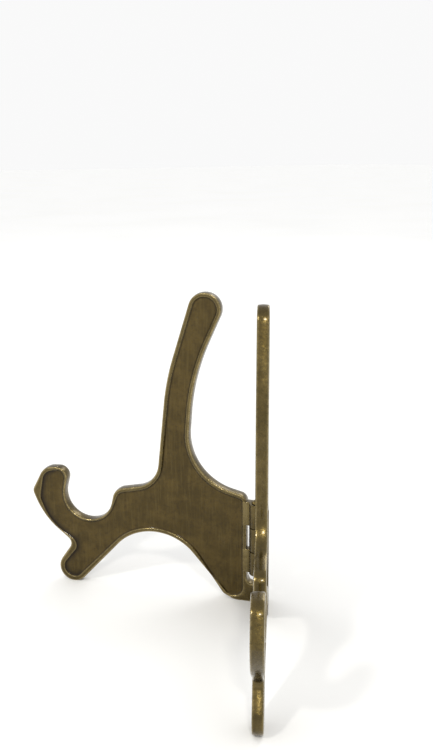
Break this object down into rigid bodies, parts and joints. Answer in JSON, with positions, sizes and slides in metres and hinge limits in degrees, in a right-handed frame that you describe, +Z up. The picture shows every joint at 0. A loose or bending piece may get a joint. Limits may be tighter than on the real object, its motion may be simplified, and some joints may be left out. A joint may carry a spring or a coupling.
{
  "type": "folding plate stand",
  "caption": "Folding metal plate stand: two flat cast frames hinged in a V, with hooked lips that hold a plate on edge and uprights it leans on.",
  "frame": {"origin": "middle of the bounding box at table level", "axes": "+Z up, +X across the stand from the left frame to the right frame as seen from the plate's side, -Y towards the plate's face"},
  "size_m": [0.2288, 0.1002, 0.188],
  "materials": {
    "cast_brass": "aged satin casting, dark olive in the sunk field, paler and brighter on the bead",
    "turned_brass": "turned and riveted, satin"
  },
  "bodies": {
    "left": {"left_frame": "cast_brass", "hinge_pin": "turned_brass"},
    "right": {"right_frame": "cast_brass"}
  },
  "joints": [
    {"name": "fold", "type": "hinge", "parent": "left", "child": "right", "pos_m": [0, 0.04198, 0], "axis": [0, 0, 1], "range_deg": [-100, 0]}
  ]
}
